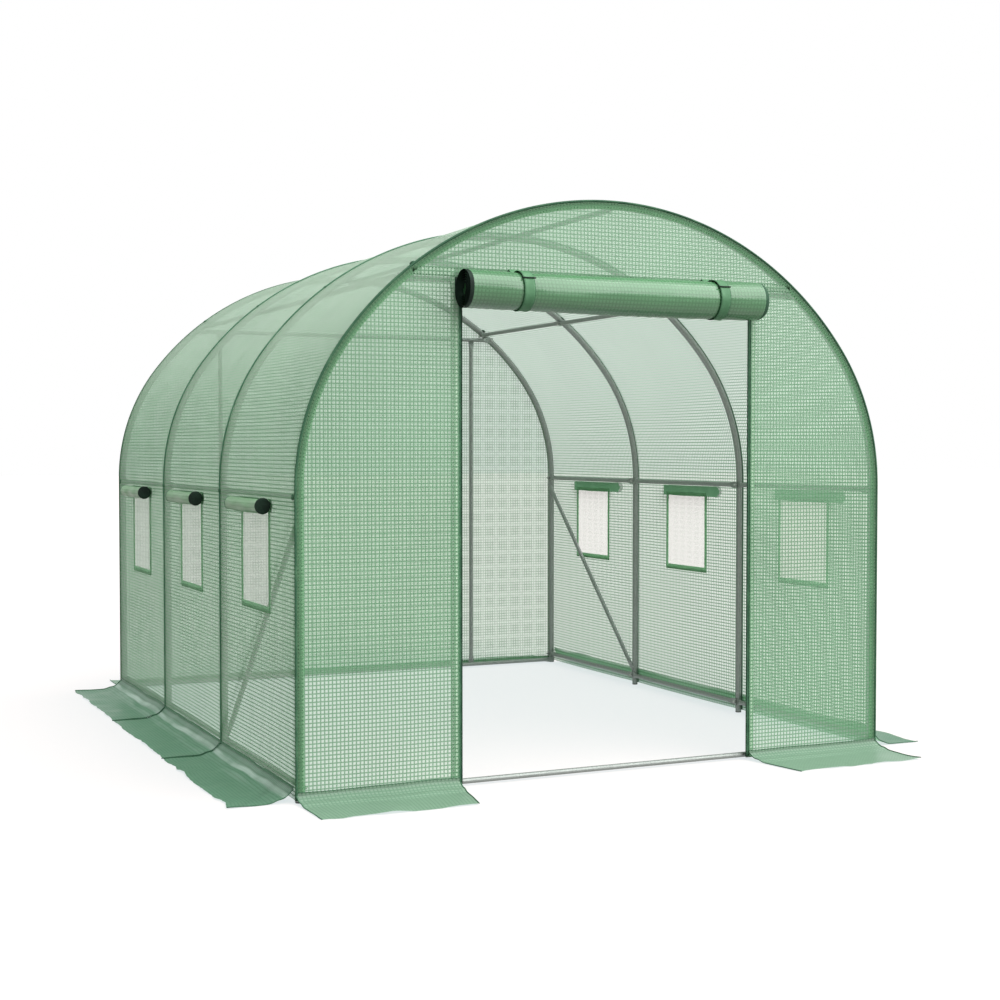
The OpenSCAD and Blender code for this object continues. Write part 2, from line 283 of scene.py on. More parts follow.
def piece(name, shape, material, replaces=(), smooth=True, extra=()):
    """A mesh that rides on the tunnel."""
    vertices, faces, uv = shape
    mesh = bpy.data.meshes.new(name)
    mesh.from_pydata(vertices.tolist(), [], faces.tolist())
    loop_vertex = np.empty(len(mesh.loops), int)
    mesh.loops.foreach_get("vertex_index", loop_vertex)
    mesh.uv_layers.new(name="cloth").data.foreach_set("uv", uv[loop_vertex].ravel())
    for each in (material, *extra):
        mesh.materials.append(each)
    mesh.polygons.foreach_set("use_smooth", [smooth] * len(mesh.polygons))
    mesh.validate()
    obj = bpy.data.objects.new(name, mesh)
    bpy.context.scene.collection.objects.link(obj)
    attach(obj, BODY)
    if replaces:
        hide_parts(*replaces)
    return obj


def thicken(obj, thickness):
    """Closes a sheet into a slab about its own middle."""
    solid = obj.modifiers.new("thickness", "SOLIDIFY")
    solid.thickness = thickness
    solid.offset = 0
    return obj


def stitches(path, across, pitch=STITCH_PITCH, length=0.006, width=0.0016, height=0.0012):
    """Row of thread stitches along a path; across lies in the cloth, square to the path."""
    path = np.asarray(path, float)
    run = np.concatenate([[0], np.cumsum(np.linalg.norm(np.diff(path, axis=0), axis=1))])
    at = np.arange(pitch / 2, run[-1], pitch)
    centre = np.stack([np.interp(at, run, path[:, i]) for i in range(3)], -1)
    ahead = np.stack([np.interp(at + pitch / 4, run, path[:, i]) for i in range(3)], -1) - centre
    ahead /= np.maximum(np.linalg.norm(ahead, axis=1, keepdims=True), 1e-9)
    across = np.broadcast_to(np.asarray(across, float), path.shape)
    side = np.stack([np.interp(at, run, across[:, i]) for i in range(3)], -1)
    up = np.cross(ahead, side)
    arms = (ahead * length / 2, side * width / 2, -ahead * length / 2, -side * width / 2,
            up * height, -up * height)
    vertices = np.stack([centre + arm for arm in arms], 1)
    pattern = np.array([[0, 1, 4], [1, 2, 4], [2, 3, 4], [3, 0, 4],
                        [1, 0, 5], [2, 1, 5], [3, 2, 5], [0, 3, 5]])
    faces = (pattern[None] + 6 * np.arange(len(at))[:, None, None]).reshape(-1, 3)
    vertices = vertices.reshape(-1, 3)
    return vertices, faces, vertices[:, :2].copy()


# Materials

class Shader:
    """A node material round one Principled shader."""

    def __init__(self, name, **sockets):
        self.material = bpy.data.materials.new(name)
        self.material.use_nodes = True
        self.tree = self.material.node_tree
        self.surface = self.tree.nodes["Principled BSDF"]
        self.set(**sockets)

    def feed(self, socket, value):
        if isinstance(value, bpy.types.NodeSocket):
            self.tree.links.new(value, socket)
        else:
            socket.default_value = value

    def add(self, kind, *values, out=0, **settings):
        node = self.tree.nodes.new("ShaderNode" + kind)
        for name, value in settings.items():
            setattr(node, name, value)
        for socket, value in zip(node.inputs, values):
            if value is not None:
                self.feed(socket, value)
        return node.outputs[out]

    def math(self, operation, *values):
        return self.add("Math", *values, operation=operation)

    def mapped(self, value, low, high, to_low, to_high):
        """Smooth step of a value from one range to another."""
        return self.add("MapRange", value, low, high, to_low, to_high,
                        interpolation_type="SMOOTHSTEP")

    def noise(self, scale, detail=3.0, where=None):
        where = where or self.add("TexCoord", out=3)
        return self.add("TexNoise", where, None, scale, detail)

    def mix(self, factor, one, other):
        return self.add("MixRGB", factor, one, other)

    def bump(self, height, distance, strength=1.0):
        node = self.tree.nodes.new("ShaderNodeBump")
        node.inputs["Strength"].default_value = strength
        node.inputs["Distance"].default_value = distance
        self.feed(node.inputs["Height"], height)
        self.feed(self.surface.inputs["Normal"], node.outputs["Normal"])

    def veil(self, through, share, alpha=None, tint=None):
        """Light from behind glows through the sheet and, with alpha, part of the view passes it."""
        glow = self.add("BsdfTranslucent", through)
        sheet = self.add("MixShader", share, self.surface.outputs[0], glow)
        if alpha is not None:
            sheet = self.add("MixShader", alpha, self.add("BsdfTransparent", tint), sheet)
        self.feed(self.tree.nodes["Material Output"].inputs["Surface"], sheet)

    def set(self, **sockets):
        for socket, value in sockets.items():
            self.feed(self.surface.inputs[socket.replace("_", " ")], value)


def rgb(red, green, blue):
    return (red, green, blue, 1.0)


def weave(shader, pitch, thread_share, softness):
    """1 on the threads of a net laid out in metres, 0 inside its meshes; a pitch for each way."""
    axes = shader.add("SeparateXYZ", shader.add("UVMap", uv_map="cloth"))
    rows = []
    for axis, step in zip(axes.node.outputs, np.broadcast_to(pitch, 2)):
        off = shader.math("PINGPONG", shader.math("DIVIDE", axis, float(step)), 0.5)
        half = thread_share / 2
        rows.append(shader.mapped(off, half - softness, half + softness, 1.0, 0.0))
    return shader.math("MAXIMUM", *rows), rows


def film(name, thread, square, glow=None, cover=None, roughness=0.40, gloss=0.15, share=0.34,
         check=0.0, painted_fold_sheen=None, tint=None, painted_light_ramp=None):
    """Woven net between two clear coats: dark threads, paler squares.

    glow and cover give the threads and the squares their colour against the light and their share
    of the view. share is the part of the light that comes from behind, and tint colours the view
    through the sheet. check thins it in a large check, and painted_fold_sheen is the colour of a
    painted sheen, a pale streak along the fold near the sewn edge. painted_light_ramp gives an axis
    of the cloth, two places on it, and the brightness and the saturation painted at each, as
    painted light and shade."""
    shader = Shader(name, IOR=1.42, Specular_IOR_Level=gloss)
    threads, rows = weave(shader, GRID, thread_share=0.34, softness=0.12)
    cloud_and_painted_light = shader.mapped(shader.noise(1.7), 0.3, 0.7, 0.92, 1.08)
    colour = shader.mix(threads, square, thread)
    saturation = None
    # Painted light and shade: brightness and saturation that change along one axis of the cloth.
    if painted_light_ramp:
        axis, *span, light, colourful = painted_light_ramp
        place = shader.add("SeparateXYZ", shader.add("UVMap", uv_map="cloth"), out=axis)
        place = shader.math("ABSOLUTE", place)
        cloud_and_painted_light = shader.math("MULTIPLY", cloud_and_painted_light, shader.mapped(place, *span, *light))
        saturation = shader.mapped(place, *span, *colourful)
    # Painted sheen: a pale streak of the given colour along the fold near the sewn edge, where the
    # fold would catch the light.
    if painted_fold_sheen:
        along = shader.add("UVMap", uv_map="cloth")
        reach = shader.add("SeparateXYZ", along, out=1)
        wander = shader.math("MULTIPLY_ADD", shader.noise(2.4, 2.0, along), 0.044, 0.004)
        off = shader.math("ABSOLUTE", shader.math("SUBTRACT", reach, wander))
        sheen_mask = shader.math("MULTIPLY", shader.mapped(off, 0.004, 0.012, 1.0, 0.0),
                             shader.mapped(shader.noise(3.4, 3.0, along), 0.32, 0.58, 0.20, 1.0))
        colour = shader.mix(sheen_mask, colour, painted_fold_sheen)
    shader.set(Base_Color=shader.add("HueSaturation", None, saturation, cloud_and_painted_light, None, colour))
    rough = shader.mapped(shader.noise(9.0), 0.3, 0.7, roughness - 0.06, roughness + 0.08)
    shader.set(Roughness=rough)
    shader.bump(shader.math("ADD", *rows), 0.0004, 0.5)
    if glow:
        alpha = shader.mapped(threads, 0.0, 1.0, cover[1], cover[0]) if cover else None
        if check:
            large, _ = weave(shader, GRID * CHECK_MESHES, thread_share=0.26, softness=0.24)
            thinned = shader.mapped(large, 0, 1, 1.0, 1.0 - check)
            alpha = shader.math("MULTIPLY", alpha, thinned)
        shader.veil(shader.mix(threads, glow[1], glow[0]), share, alpha, tint)
    return shader.material


def tape(name, dark, light, weave_pitch=0.0012, roughness=0.65, glow=None):
    """Woven tape with a fine rib and a little wear."""
    shader = Shader(name, Roughness=roughness, Specular_IOR_Level=0.2)
    ribs, _ = weave(shader, weave_pitch, thread_share=0.5, softness=0.2)
    worn = shader.mapped(shader.noise(14.0, 5.0), 0.35, 0.7, 0.0, 1.0)
    blend = shader.math("MULTIPLY_ADD", ribs, -0.35, worn)
    shader.set(Base_Color=shader.mix(blend, dark, light))
    shader.bump(ribs, 0.0002, 0.4)
    if glow:
        shader.veil(glow, 0.4)
    return shader.material


def metal(name, dark, light, roughness, grain=34.0):
    """Zinc coat: spangles of two greys and uneven gloss."""
    shader = Shader(name, Metallic=0.70)
    cells = shader.add("TexVoronoi", shader.add("TexCoord", out=3), None, grain * 6, out=1)
    spangle = shader.add("RGBToBW", cells)
    cloud = shader.noise(grain / 3, 4.0)
    blend = shader.math("MULTIPLY_ADD", spangle, 0.45, shader.math("MULTIPLY", cloud, 0.55))
    shader.set(Base_Color=shader.mix(blend, dark, light))
    shader.set(Roughness=shader.mapped(cloud, 0.3, 0.7, roughness - 0.07, roughness + 0.1))
    shader.bump(spangle, 0.00015, 0.25)
    return shader.material


def plastic(name, dark, light, roughness=0.5):
    """Moulded plastic with a fine grained face."""
    shader = Shader(name)
    grain = shader.noise(900.0, 2.0)
    shader.set(Base_Color=shader.mix(shader.noise(25.0), dark, light))
    shader.set(Roughness=shader.mapped(grain, 0.3, 0.7, roughness - 0.08, roughness + 0.08))
    shader.bump(grain, 0.0001, 0.3)
    return shader.material


def insect_screen(name, dark, light, alpha_thread, alpha_gap):
    """Fine net that lets part of the view through, with a thinner line at every coarse cord."""
    shader = Shader(name, Roughness=0.6, Specular_IOR_Level=0.2)
    threads, _ = weave(shader, 0.0022, thread_share=0.34, softness=0.14)
    cords, _ = weave(shader, (0.022, 0.060), thread_share=0.30, softness=0.22)
    shader.set(Base_Color=shader.mix(shader.noise(20.0), dark, light))
    net = shader.mapped(threads, 0, 1, alpha_gap, alpha_thread)
    shader.bump(threads, 0.0002, 0.4)
    shader.veil(light, 0.45, shader.math("MULTIPLY_ADD", cords, -0.12, net))
    return shader.material


TINT = rgb(0.86, 0.97, 0.90)
THREAD = rgb(0.170, 0.362, 0.192)
SQUARE = rgb(0.335, 0.562, 0.355)
GLOW = (rgb(0.20, 0.30, 0.23), rgb(0.96, 0.96, 0.96))
# Painted light: the end walls' film is painted brighter and less saturated towards the top.
FILM = film("film", rgb(0.133, 0.338, 0.170), rgb(0.340, 0.610, 0.385), GLOW, (0.86, 0.42),
            tint=rgb(0.96, 0.97, 0.94), painted_light_ramp=(1, 0.7, 1.75, (1.03, 1.24), (0.97, 0.80)))
# Painted light: the cover is painted much brighter and less saturated over the crown than on the
# walls, as if lit from above.
COVER_FILM = film("cover_film", THREAD, SQUARE, GLOW, (0.97, 0.48), share=0.44, tint=TINT,
                  painted_light_ramp=(0, 0.9, SPRING_S + 0.15, (1.70, 0.93), (0.64, 1.24)))
REAR_FILM = film("rear_film", THREAD, SQUARE, GLOW, (0.74, 0.49), check=0.18, tint=TINT)
# Painted shade: the hems are painted darker beside the piping than at their inner edge.
HEM_FILM = film("hem_film", rgb(0.110, 0.245, 0.131), rgb(0.162, 0.312, 0.178),
                (rgb(0.08, 0.17, 0.10), rgb(0.16, 0.27, 0.17)), (0.97, 0.86),
                painted_light_ramp=(1, 0.006, HEM_W, (1.0, 1.7), (1.0, 1.05)))
SKIRT_GLOW = (rgb(0.24, 0.54, 0.30), rgb(0.36, 0.70, 0.43))
# Painted shade: the side flaps' film is a darker copy of the end flaps' film, standing in for flaps
# in shade; it also carries a painted sheen along the fold.
SHADED_SKIRT_FILM = film("skirt_film", rgb(0.067, 0.143, 0.098), rgb(0.104, 0.193, 0.144), SKIRT_GLOW,
                  roughness=0.36, gloss=0.5, painted_fold_sheen=rgb(0.47, 0.58, 0.53))
# Painted light: the end flaps' film is a paler copy of the side flaps' film, standing in for flaps
# in the key light.
LIT_SKIRT_FILM = film("lit_skirt_film", rgb(0.168, 0.265, 0.190), rgb(0.262, 0.358, 0.280),
                      SKIRT_GLOW, roughness=0.36, gloss=0.5)
ROLLED_FILM = film("rolled_film", rgb(0.050, 0.170, 0.066), rgb(0.078, 0.228, 0.098),
                   roughness=0.25, gloss=1.0)
FLAP_FILM = film("flap_film", rgb(0.140, 0.290, 0.146), rgb(0.208, 0.378, 0.212))
# Painted light: the sleeves are painted pale so the front film over them looks as bright as the
# film beside them, where light comes through.
SLEEVE_FILM = film("sleeve_film", rgb(0.580, 0.700, 0.590), rgb(0.680, 0.800, 0.680))
BINDING = tape("binding", rgb(0.232, 0.432, 0.265), rgb(0.312, 0.530, 0.345),
               glow=rgb(0.62, 0.92, 0.66))
# Near black: the dark tape of the zip teeth and the toggles, and painted shade on the open end of
# the rolled door and on the front ends of the rolled window flaps.
DARK_TAPE_AND_SHADE = tape("dark_tape_and_shade", rgb(0.005, 0.014, 0.009), rgb(0.014, 0.036, 0.022))
PIPING = tape("piping", rgb(0.034, 0.104, 0.055), rgb(0.068, 0.170, 0.090))
# Painted shade: opaque strips inside the film, standing in for the rolled flaps' shadow on it.
FLAP_SHADE_BAND = tape("flap_shade_band", rgb(0.285, 0.600, 0.350), rgb(0.370, 0.700, 0.440),
                 weave_pitch=0.0018)
# Painted shade: a dark band on the rounded closed end of the rolled door.
ROLL_END_SHADE = tape("roll_end_shade", rgb(0.016, 0.060, 0.030), rgb(0.034, 0.102, 0.054))
WELT = tape("welt", rgb(0.045, 0.125, 0.070), rgb(0.075, 0.180, 0.105))
HOOP_WELT = tape("hoop_welt", rgb(0.070, 0.175, 0.105), rgb(0.110, 0.235, 0.150))
STITCH = tape("stitch_thread", rgb(0.050, 0.135, 0.070), rgb(0.085, 0.190, 0.110),
              weave_pitch=0.0006)
STRAP = tape("strap", rgb(0.082, 0.212, 0.104), rgb(0.135, 0.295, 0.160), weave_pitch=0.0018,
             roughness=0.5)
SCREEN = insect_screen("insect_screen", rgb(0.61, 0.65, 0.60), rgb(0.685, 0.72, 0.665),
                       alpha_thread=0.62, alpha_gap=0.58)
TUBE = metal("galvanised_tube", rgb(0.20, 0.220, 0.205), rgb(0.365, 0.390, 0.370), roughness=0.48)
BOLT = metal("zinc_bolt", rgb(0.36, 0.38, 0.36), rgb(0.58, 0.60, 0.57), roughness=0.34, grain=90.0)
PLUG = plastic("foot_plug", rgb(0.010, 0.011, 0.011), rgb(0.028, 0.030, 0.030))


# Film over the hoops

def window_girths():
    """Girth distances of a window's top and foot."""
    return girth_at(WINDOW_TOP), girth_at(WINDOW_TOP - WINDOW_H)


def tunnel_cover():
    """One sheet over all the hoops, with an opening for each window."""
    top, foot = window_girths()
    half = [0, CROWN_L, SPRING_S, top, foot, GROUND_S - FOOT_Z]
    s = ticks([side * d for side in SIDES.values() for d in half], COVER_STEP)
    window_ends = [y + end * WINDOW_W / 2 for y in BAY_Y for end in (-1, 1)]
    y = ticks([-COVER_Y, COVER_Y, *HOOP_Y, *window_ends], COVER_STEP)
    rows, columns = np.meshgrid(s, y, indexing="ij")
    points = cover_points(rows, columns)
    at_s = np.abs(s[:-1] + s[1:])[:, None] / 2
    at_y = (y[:-1] + y[1:])[None] / 2
    in_window = np.any([np.abs(at_y - centre) < WINDOW_W / 2 for centre in BAY_Y], 0)
    open_cell = (at_s > top) & (at_s < foot) & in_window
    parts = ("wall", "haunch", "roof", "ridge")
    covers = [f"{side}_{part}_cover" for side in SIDES for part in parts]
    shape = grid(points, np.stack([rows, columns], -1), ~open_cell)
    return piece("tunnel_cover", shape, COVER_FILM, covers)


def end_patch(y, s_values, inner_x, side, out):
    """Part of an end wall between the skin's outline and an upright edge."""
    x_out, z, _, _ = skin(s_values)
    across = np.linspace(0, 1, 30)[:, None]
    x = np.abs(x_out)[None] * across + inner_x * (1 - across)
    height = np.broadcast_to(z, x.shape)
    inside = np.minimum(np.abs(x_out)[None] - x, CROWN_R - np.hypot(x, height - CROWN_Z))
    loose = np.clip((inside - HEM_W) / 0.15, 0, 1) * np.clip(height / 0.25, 0, 1)
    if inner_x:
        loose = loose * np.clip((x - inner_x) / 0.12, 0, 1)
    broad = smooth_noise(x * side * 3.2, height * 1.5, y)
    fine = smooth_noise(x * 9, height * 4, y)
    off = out * BILLOW * loose * (0.5 + broad + 0.5 * fine)
    points = np.stack([side * x, y + off, height], -1)
    uv = np.stack([side * x, height], -1)
    if side * out > 0:
        points, uv = points[::-1], uv[::-1]
    return grid(points, uv)


def end_film(name, y, out, s_top, s_foot, inner_x, node, material):
    """An end wall's film; two halves where it crosses the middle."""
    breaks = (s_top, CROWN_L, SPRING_S, s_foot)
    s_values = ticks([s for s in breaks if s_top <= s <= s_foot], END_STEP)
    halves = [1, -1] if node in ("front_gable", "rear_panel") else [-1 if "left" in node else 1]
    shape = joined([end_patch(y, s_values, inner_x, side, out) for side in halves])
    return piece(name, shape, material, [node])


# Trim along the hoops

def arch_line(y, inset):
    """Line along the skin in one upright plane, from foot to foot, and the skin's normals there."""
    s = ticks([FOOT_Z - GROUND_S, GROUND_S - FOOT_Z], ARCH_STEP)
    x, z, nx, nz = skin(s)
    line = np.stack([x - inset * nx, np.full_like(x, y), z - inset * nz], -1)
    return line, np.stack([nx, 0 * nx, nz], -1)


def arch_hem(y):
    """Flat hem on an end wall, beside the skin's outline."""
    outer, _ = arch_line(y, HEM_INSET)
    inner, _ = arch_line(y, HEM_INSET + HEM_W)
    share = np.linspace(0, 1, len(STRIP_RISE))[None, :, None]
    points = outer[:, None] * (1 - share) + inner[:, None] * share
    points[..., 1] += math.copysign(1, y) * LAP * STRIP_RISE
    if y > 0:
        points = points[:, ::-1]
    run = np.arange(len(outer))[:, None] * ARCH_STEP + 0 * points[..., 0]
    across = (share if y < 0 else 1 - share)[..., 0] * HEM_W
    uv = np.stack([run, across + 0 * run], -1)
    return grid(points, uv)


def arch_trim():
    """Piping and hems of both end arches, welts over the middle hoops, and the stitching."""
    pipes, hems, threads, welts = [], [], [], []
    for y, out in ((FRONT_Y, -1), (REAR_Y, 1)):
        line, _ = arch_line(y, PIPE_INSET)
        pipes.append(sweep(line, PIPE_R, (0, 1, 0)))
        hems.append(arch_hem(y))
        for inset in (0.010, HEM_W - 0.003):
            threads.append(stitches(*arch_line(y + out * (LAP + THREAD_LIFT), inset)))
    for y in HOOP_Y[1:-1]:
        line, _ = arch_line(y - WELT_AHEAD, -WELT_PROUD)
        welts.append(sweep(line, WELT_R, (0, 1, 0)))
    return [piece("end_piping", joined(pipes), PIPING),
            piece("end_hems", joined(hems), HEM_FILM),
            piece("hoop_welts", joined(welts), HOOP_WELT),
            piece("arch_stitches", joined(threads), STITCH)]


# Ground flaps

def ground_flap(name, start, along, out, length, width, seed, node, material, rise, lean=0.0):
    """Flap sewn to the foot of a wall: a lap up it, a loose fold, then waves along the ground."""
    lap_rows = 5
    near = 0.10
    start, along, out = (np.array(v, float) for v in (start, along, out))
    run = ticks([0, length], 0.014)
    reach = np.concatenate([np.linspace(-SKIRT_LAP, 0, lap_rows, endpoint=False),
                            np.linspace(0, near, 21, endpoint=False), ticks([near, width], 0.013)])
    rows, columns = np.meshgrid(run, reach, indexing="ij")
    far = np.maximum(columns, 0)
    outer = (far / width) ** 1.5
    wobble = smooth_noise(rows * 4.5, seed)
    lap = np.maximum(-columns, 0) * (1 + 0.3 * smooth_noise(rows * 6.0, seed + 1.0))
    slope = rise * (1 + 0.2 * wobble) * np.exp(-(far / (0.030 + 0.008 * wobble)) ** 1.25)
    crest = 0.052 + 0.020 * smooth_noise(rows * 2.6, seed + 5.0)
    fold = 0.007 * np.exp(-((far - crest) / 0.017) ** 2)
    fold = fold * (0.65 + smooth_noise(rows * 3.4, seed + 7.0))
    waves = 0.009 * outer * (smooth_noise(rows * 8, columns * 6, seed) + 0.3)
    ragged = (0.11 * np.abs(smooth_noise(rows * 6.0, seed + 3.0))
              + 0.03 * np.abs(smooth_noise(rows * 21, seed + 4.0)))
    slant = lean * (1 - rows / length) + 0.012 * smooth_noise(rows * 3, seed + 9.0)
    height = 0.0016 + lap + slope + np.maximum(fold, 0) + np.maximum(waves, 0)
    points = (start + along * (rows + slant * outer)[..., None]
              + out * (far * (1 - ragged * outer) + 0.0022)[..., None]
              + np.array([0, 0, 1.0]) * height[..., None])
    uv = np.stack([rows, columns], -1)
    lines = [points[0, lap_rows:], points[-1, lap_rows:]]
    sewn = points[:, 0] + out * 0.0008
    if np.cross(along, out)[2] < 0:
        points, uv = points[::-1], uv[::-1]
    flap = piece(name, grid(points, uv), material, [node])
    bars = [sweep(line + np.array([0, 0, 0.0010]), 0.0018, along, sides=6) for line in lines]
    bars.append(sweep(sewn, 0.0010, out, sides=6))
    edge = piece(name + "_edge", joined(bars), WELT)


def ground_flaps():
    """Three flaps on each side, two at the front and one at the rear."""
    for side, sign in SIDES.items():
        for i, y in enumerate(HOOP_Y[:-1]):
            start = (sign * HALF_W, y + SKIRT_SLIT / 2, 0)
            ground_flap(f"{side}_flap_{i + 1}", start, (0, 1, 0), (sign, 0, 0), BAY - SKIRT_SLIT,
                        SIDE_SKIRT_W, 11.0 * (i + 1) + sign, f"{side}_skirt", SHADED_SKIRT_FILM,
                        SKIRT_RISE[side])
    for side, sign in SIDES.items():
        start = (sign * DOOR_X, FRONT_Y, 0)
        ground_flap(f"front_{side}_flap", start, (sign, 0, 0), (0, -1, 0), HALF_W - DOOR_X,
                    END_SKIRT_W, 50.0 + sign, "front_skirt", LIT_SKIRT_FILM, SKIRT_RISE["front"],
                    lean=0.045)
    ground_flap("rear_flap", (-HALF_W, REAR_Y, 0), (1, 0, 0), (0, 1, 0), 2 * HALF_W,
                END_SKIRT_W, 70.0, "rear_skirt", LIT_SKIRT_FILM, SKIRT_RISE["rear"])


# Rolled film

def rolled(name, centre, along, back, half, radius, core, turns, lead, shape, materials, node,
           tapes=(0.010, 0.010)):
    """Sheet that hangs from the wall by a short lead and is wound up outwards, down and under.

    The first material covers the roll, the second its start and the last its end, as wide as tapes
    says. On the rolled door these start and end colours are painted shade."""
    hang_rows = 5
    centre, along, back = (np.array(v, float) for v in (centre, along, back))
    up = np.array([0, 0, 1.0])
    breaks = [-half, -half + tapes[0], half - ROLL_CLOSE, half - tapes[1], half - 0.006, half]
    u = ticks(breaks, 0.010)
    turn = np.linspace(0, 2 * math.pi * turns, int(44 * turns) + 1)
    wound = radius + (core - radius) * turn / turn[-1]
    flat_back = np.concatenate([np.full(hang_rows, radius), wound * np.cos(turn)])
    hanging = np.linspace(lead, lead / hang_rows, hang_rows)
    flat_up = np.concatenate([hanging, -wound * np.sin(turn)])
    angle = np.concatenate([np.zeros(hang_rows), turn])
    steps = np.hypot(np.diff(flat_back), np.diff(flat_up))
    run = np.concatenate([[0], np.cumsum(steps)])
    rows, columns = np.meshgrid(run, u, indexing="ij")
    angles = np.broadcast_to(angle[:, None], rows.shape)
    hangs = np.broadcast_to((np.arange(len(run)) < hang_rows)[:, None], rows.shape)
    scale, drop = shape(columns, angles)
    scale = np.where(hangs, 1.0, scale)
    drop = np.where(hangs, 0.0, drop)
    points = (centre + along * columns[..., None]
              + back * (flat_back[:, None] * scale + radius * (1 - scale))[..., None]
              + up * (flat_up[:, None] * scale - drop)[..., None])
    at = (u[:-1] + u[1:]) / 2
    at_end = np.where(at > half - tapes[1], len(materials) - 1, 0)
    ends = np.where(at < tapes[0] - half, 1, at_end)
    obj = piece(name, grid(points, np.stack([columns, rows], -1)), materials[0],
                [node], extra=materials[1:])
    index = np.broadcast_to(ends[None], (len(run) - 1, len(u) - 1))
    obj.data.polygons.foreach_set("material_index", index.ravel())


def door_shape(u, angle):
    """Swell, dents, sag and pinch of the rolled door, and the rounding of its closed end."""
    share = np.clip(0.8 * (u / ROLL_HALF + 1), 0, 1)
    swell = 0.025 + 0.085 * share * share * (3 - 2 * share)
    dents = 0.024 * smooth_noise(u * 4.0, np.cos(angle) * 1.2, np.sin(angle) * 1.2)
    outer = np.clip(1 - angle / (4 * math.pi), 0, 1)
    ties = sum(np.exp(-((u - x) / 0.04) ** 2) for x in (-TIE_X, TIE_X))
    closing = 0.45 * np.clip((u - ROLL_HALF + ROLL_CLOSE) / ROLL_CLOSE, 0, 1) ** 2.8
    sag = 0.006 * (1 - (u / ROLL_HALF) ** 2) * np.clip(angle / math.pi, 0, 1)
    return 1 + (swell + dents) * (0.3 + 0.7 * outer) - 0.035 * ties - closing, sag


def flap_shape(u, angle):
    """Small dents of a rolled window flap."""
    dents = 0.05 * smooth_noise(u * 11.0, np.cos(angle) * 1.5, np.sin(angle) * 1.5)
    return 1 + dents, 0.0015 * np.cos(u / FLAP_L * math.pi)


def door_ties():
    """Two straps round the rolled door, each with a bound edge and a toggle."""
    straps, edges, toggles, threads = [], [], [], []
    angle = np.radians(np.linspace(300, 25, 56))
    snug = ROLL_R + TIE_GAP
    lead_rows = 6
    for x in (-TIE_X, TIE_X):
        u, turn = np.meshgrid(np.linspace(x - TIE_W / 2, x + TIE_W / 2, 7), angle)
        scale, drop = door_shape(u, turn)
        y = ROLL_Y + snug * np.cos(turn) * scale + ROLL_R * (1 - scale)
        z = ROLL_Z - snug * np.sin(turn) * scale - drop
        share = np.linspace(0, 1, lead_rows, endpoint=False)[:, None]
        lead_y = (FRONT_Y - 0.002) * (1 - share) + y[:1] * share
        lead_z = (SEAM_Z + 0.018) * (1 - share) + z[:1] * share
        points = np.stack([np.concatenate([u[:lead_rows], u]), np.concatenate([lead_y, y]),
                           np.concatenate([lead_z, z])], -1)
        steps = np.linalg.norm(np.diff(points[:, 3], axis=0), axis=1)
        rows = np.concatenate([[0], np.cumsum(steps)])[:, None] + 0 * points[..., 0]
        straps.append(grid(points[:, ::-1], np.stack([points[..., 0], rows], -1)[:, ::-1]))
        edges += [sweep(points[:, column], 0.0009, (1, 0, 0), sides=6) for column in (0, -1)]
        threads.append(stitches(points[:, 1], (1, 0, 0), pitch=0.008, length=0.005))
        knot = points[np.argmin(np.abs(angle - math.radians(215))) + lead_rows, 3]
        radial = knot - np.array([x, ROLL_Y, ROLL_Z])
        radial /= np.linalg.norm(radial)
        profile = [(0, -0.026), (0.0022, -0.0255), (0.0030, -0.021), (0.0025, 0),
                   (0.0030, 0.021), (0.0022, 0.0255), (0, 0.026)]
        toggles.append(placed(lathe(profile, 10), knot + radial * 0.0028, (1, 0, 0)))
    thicken(piece("door_ties", joined(straps), STRAP, ["door_roll_ties"]), 0.0012)
    piece("door_tie_edges", joined(edges), WELT)
    piece("door_tie_stitches", joined(threads), STITCH)
    piece("door_toggles", joined(toggles), DARK_TAPE_AND_SHADE)


# Windows

